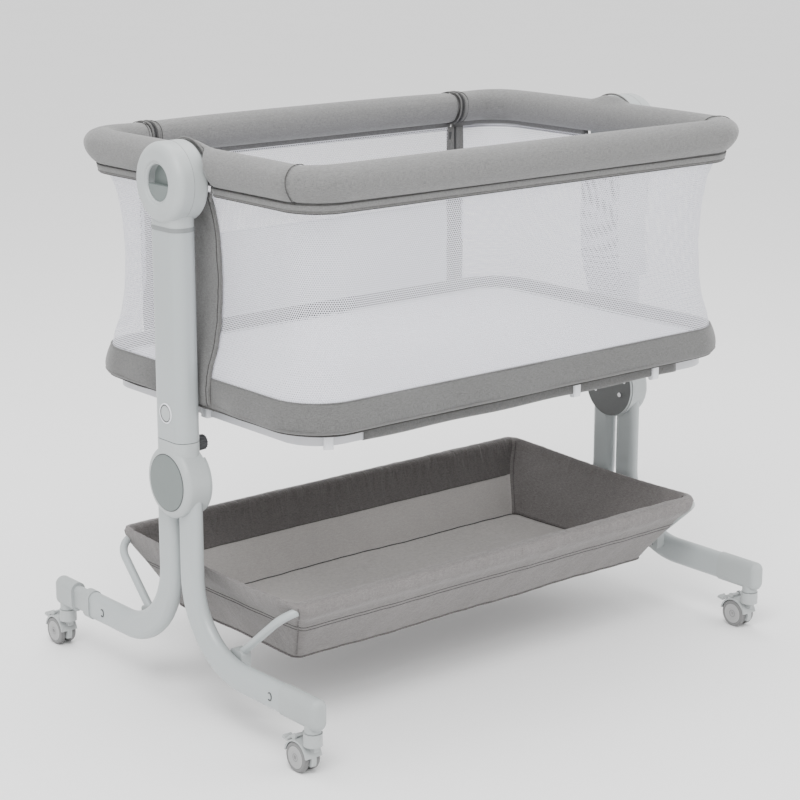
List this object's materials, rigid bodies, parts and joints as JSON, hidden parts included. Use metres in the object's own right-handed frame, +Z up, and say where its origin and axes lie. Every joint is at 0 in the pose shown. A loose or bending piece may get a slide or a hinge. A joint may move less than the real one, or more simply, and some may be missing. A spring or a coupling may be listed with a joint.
{
  "type": "bassinet on stand",
  "caption": "Bedside bassinet: padded-rail mesh cradle with zip-down drop side and pad, on telescopic end frames with hubs, a cloth basket, sliding back feet and braked twin-wheel castors.",
  "frame": {"origin": "on the floor, under the middle of the outline of the whole bed at rest", "axes": "+X along the bed, from its left end to its right; -Y is the front, +Y the drop side's side; +Z up"},
  "size_m": [0.912, 0.6941, 0.81],
  "materials": {
    "hub_plastic": "moulded light grey, fine satin grain",
    "hub_disc": "moulded grey-green, satin",
    "dark_plastic": "moulded dark grey, fine grain",
    "ring_plastic": "moulded mid grey, satin",
    "frame_paint": "light grey powder coat, satin",
    "inner_steel": "drawn tube, fine lengthwise lines",
    "screw_steel": "bright plated",
    "foot_plastic": "moulded light grey, satin",
    "castor_plastic": "moulded light grey, semi-gloss",
    "castor_tread": "grey tread, slightly worn",
    "rail_fabric": "heather grey woven cover over padding",
    "mesh_fabric": "open knitted mesh",
    "panel_fabric": "light grey woven panel",
    "zip_fabric": "dark woven zip tape",
    "zip_metal": "dark lacquered die casting",
    "band_fabric": "heather grey woven band",
    "board_plastic": "pressed board, matt",
    "mattress_fabric": "pale quilted cotton ticking",
    "basket_fabric": "warm grey woven cloth with bound hems"
  },
  "bodies": {
    "stand": {"lower_hub_shells": "hub_plastic", "lower_hub_plates": "dark_plastic", "lower_hub_caps": "hub_disc", "inner_tubes": "inner_steel", "stand_screws": "screw_steel", "leg_front_left": "frame_paint", "leg_front_right": "frame_paint", "leg_back_left": "frame_paint", "leg_back_right": "frame_paint", "front_foot_caps": "foot_plastic", "back_foot_collars": "foot_plastic", "basket_tubes": "frame_paint", "basket_brackets": "foot_plastic", "basket": "basket_fabric"},
    "left_mast": {"mast_tube_left": "frame_paint", "neck_ring_left": "ring_plastic", "upper_hub_outer_left": "hub_plastic", "upper_hub_inner_left": "hub_plastic", "end_wall_left": "mesh_fabric"},
    "left_grip": {"hub_grip_left": "hub_disc"},
    "left_button": {"height_button_left": "hub_plastic"},
    "left_thumb_screw": {"thumb_screw_left": "dark_plastic"},
    "left_foot": {"foot_extension_left": "foot_plastic"},
    "right_mast": {"mast_tube_right": "frame_paint", "neck_ring_right": "ring_plastic", "upper_hub_outer_right": "hub_plastic", "upper_hub_inner_right": "hub_plastic", "end_wall_right": "mesh_fabric"},
    "right_grip": {"hub_grip_right": "hub_disc"},
    "right_button": {"height_button_right": "hub_plastic"},
    "right_thumb_screw": {"thumb_screw_right": "dark_plastic"},
    "right_foot": {"foot_extension_right": "foot_plastic"},
    "rail": {"rail_tube": "frame_paint", "rail_cover_front": "rail_fabric", "rail_cover_left": "rail_fabric", "rail_cover_right": "rail_fabric", "mesh_walls": "mesh_fabric"},
    "drop_side": {"drop_rail_tube": "frame_paint", "drop_rail_cover": "rail_fabric", "drop_mesh": "mesh_fabric", "drop_panel": "panel_fabric", "zip_tapes": "zip_fabric"},
    "left_zip_slider": {"zip_slider_left": "zip_metal"},
    "right_zip_slider": {"zip_slider_right": "zip_metal"},
    "base": {"base_band": "band_fabric", "base_ring_tube": "frame_paint", "base_board": "board_plastic", "mattress": "mattress_fabric"},
    "front_left_castor": {"castor_fork_front_left": "castor_plastic"},
    "front_left_wheels": {"castor_wheels_front_left": "castor_tread"},
    "front_left_pedal": {"castor_pedal_front_left": "castor_plastic"},
    "front_right_castor": {"castor_fork_front_right": "castor_plastic"},
    "front_right_wheels": {"castor_wheels_front_right": "castor_tread"},
    "front_right_pedal": {"castor_pedal_front_right": "castor_plastic"},
    "back_left_castor": {"castor_fork_back_left": "castor_plastic"},
    "back_left_wheels": {"castor_wheels_back_left": "castor_tread"},
    "back_left_pedal": {"castor_pedal_back_left": "castor_plastic"},
    "back_right_castor": {"castor_fork_back_right": "castor_plastic"},
    "back_right_wheels": {"castor_wheels_back_right": "castor_tread"},
    "back_right_pedal": {"castor_pedal_back_right": "castor_plastic"}
  },
  "joints": [
    {"name": "height", "type": "slide", "parent": "stand", "child": "left_mast", "axis": [0, 0, 1], "range_m": [0, 0.14]},
    {"name": "incline", "type": "hinge", "parent": "left_mast", "child": "rail", "pos_m": [-0.396, -0.029, 0.775], "axis": [0, -1, 0], "range_deg": [0, 5]},
    {"name": "right_pivot", "type": "hinge", "parent": "rail", "child": "right_mast", "pos_m": [0.396, -0.029, 0.775], "axis": [0, -1, 0], "range_deg": [-5, 0]},
    {"name": "base_sway", "type": "slide", "parent": "rail", "child": "base", "axis": [1, 0, 0], "range_m": [-0.028, 0]},
    {"name": "drop_side", "type": "hinge", "parent": "rail", "child": "drop_side", "pos_m": [0, 0.237, 0.4875], "axis": [-1, 0, 0], "range_deg": [0, 180]},
    {"name": "zip_left", "type": "slide", "parent": "drop_side", "child": "left_zip_slider", "axis": [0, 0, -1], "range_m": [0, 0.2]},
    {"name": "height_button_left", "type": "slide", "parent": "left_mast", "child": "left_button", "axis": [1, 0, 0], "range_m": [0, 0.002], "stiffness_N_per_m": 500},
    {"name": "grip_left", "type": "hinge", "parent": "left_mast", "child": "left_grip", "pos_m": [-0.447, -0.029, 0.732], "axis": [0, 1, 0], "range_deg": [0, 8], "stiffness_Nm_per_rad": 0.5},
    {"name": "thumb_screw_left", "type": "hinge", "parent": "stand", "child": "left_thumb_screw", "pos_m": [-0.398, -0.029, 0.386], "axis": [1, 0, 0], "continuous": true},
    {"name": "foot_extension_left", "type": "slide", "parent": "stand", "child": "left_foot", "axis": [0, 1, 0], "range_m": [-0.02, 0.04]},
    {"name": "zip_right", "type": "slide", "parent": "drop_side", "child": "right_zip_slider", "axis": [0, 0, -1], "range_m": [0, 0.2]},
    {"name": "height_button_right", "type": "slide", "parent": "right_mast", "child": "right_button", "axis": [-1, 0, 0], "range_m": [0, 0.002], "stiffness_N_per_m": 500},
    {"name": "grip_right", "type": "hinge", "parent": "right_mast", "child": "right_grip", "pos_m": [0.447, -0.029, 0.732], "axis": [0, -1, 0], "range_deg": [0, 8], "stiffness_Nm_per_rad": 0.5},
    {"name": "thumb_screw_right", "type": "hinge", "parent": "stand", "child": "right_thumb_screw", "pos_m": [0.398, -0.029, 0.386], "axis": [1, 0, 0], "continuous": true},
    {"name": "foot_extension_right", "type": "slide", "parent": "stand", "child": "right_foot", "axis": [0, 1, 0], "range_m": [-0.02, 0.04]},
    {"name": "swivel_front_left", "type": "hinge", "parent": "stand", "child": "front_left_castor", "pos_m": [-0.43, -0.328, 0.06], "axis": [0, 0, 1], "continuous": true},
    {"name": "wheels_front_left", "type": "hinge", "parent": "front_left_castor", "child": "front_left_wheels", "pos_m": [-0.43, -0.306, 0.021], "axis": [1, 0, 0], "continuous": true},
    {"name": "brake_front_left", "type": "hinge", "parent": "front_left_castor", "child": "front_left_pedal", "pos_m": [-0.43, -0.29886, 0.04766], "axis": [-1, 0, 0], "range_deg": [0, 12]},
    {"name": "swivel_front_right", "type": "hinge", "parent": "stand", "child": "front_right_castor", "pos_m": [0.43, -0.328, 0.06], "axis": [0, 0, 1], "continuous": true},
    {"name": "wheels_front_right", "type": "hinge", "parent": "front_right_castor", "child": "front_right_wheels", "pos_m": [0.43, -0.306, 0.021], "axis": [1, 0, 0], "continuous": true},
    {"name": "brake_front_right", "type": "hinge", "parent": "front_right_castor", "child": "front_right_pedal", "pos_m": [0.43, -0.29886, 0.04766], "axis": [-1, 0, 0], "range_deg": [0, 12]},
    {"name": "swivel_back_left", "type": "hinge", "parent": "left_foot", "child": "back_left_castor", "pos_m": [-0.43, 0.287, 0.06], "axis": [0, 0, 1], "continuous": true},
    {"name": "wheels_back_left", "type": "hinge", "parent": "back_left_castor", "child": "back_left_wheels", "pos_m": [-0.43, 0.309, 0.021], "axis": [1, 0, 0], "continuous": true},
    {"name": "brake_back_left", "type": "hinge", "parent": "back_left_castor", "child": "back_left_pedal", "pos_m": [-0.43, 0.31614, 0.04766], "axis": [-1, 0, 0], "range_deg": [0, 12]},
    {"name": "swivel_back_right", "type": "hinge", "parent": "right_foot", "child": "back_right_castor", "pos_m": [0.43, 0.287, 0.06], "axis": [0, 0, 1], "continuous": true},
    {"name": "wheels_back_right", "type": "hinge", "parent": "back_right_castor", "child": "back_right_wheels", "pos_m": [0.43, 0.309, 0.021], "axis": [1, 0, 0], "continuous": true},
    {"name": "brake_back_right", "type": "hinge", "parent": "back_right_castor", "child": "back_right_pedal", "pos_m": [0.43, 0.31614, 0.04766], "axis": [-1, 0, 0], "range_deg": [0, 12]}
  ],
  "couplings": [
    {"joint": "right_pivot", "follows": "incline", "ratio": -1},
    {"joint": "base_sway", "follows": "incline", "m_per_rad": -0.309}
  ]
}
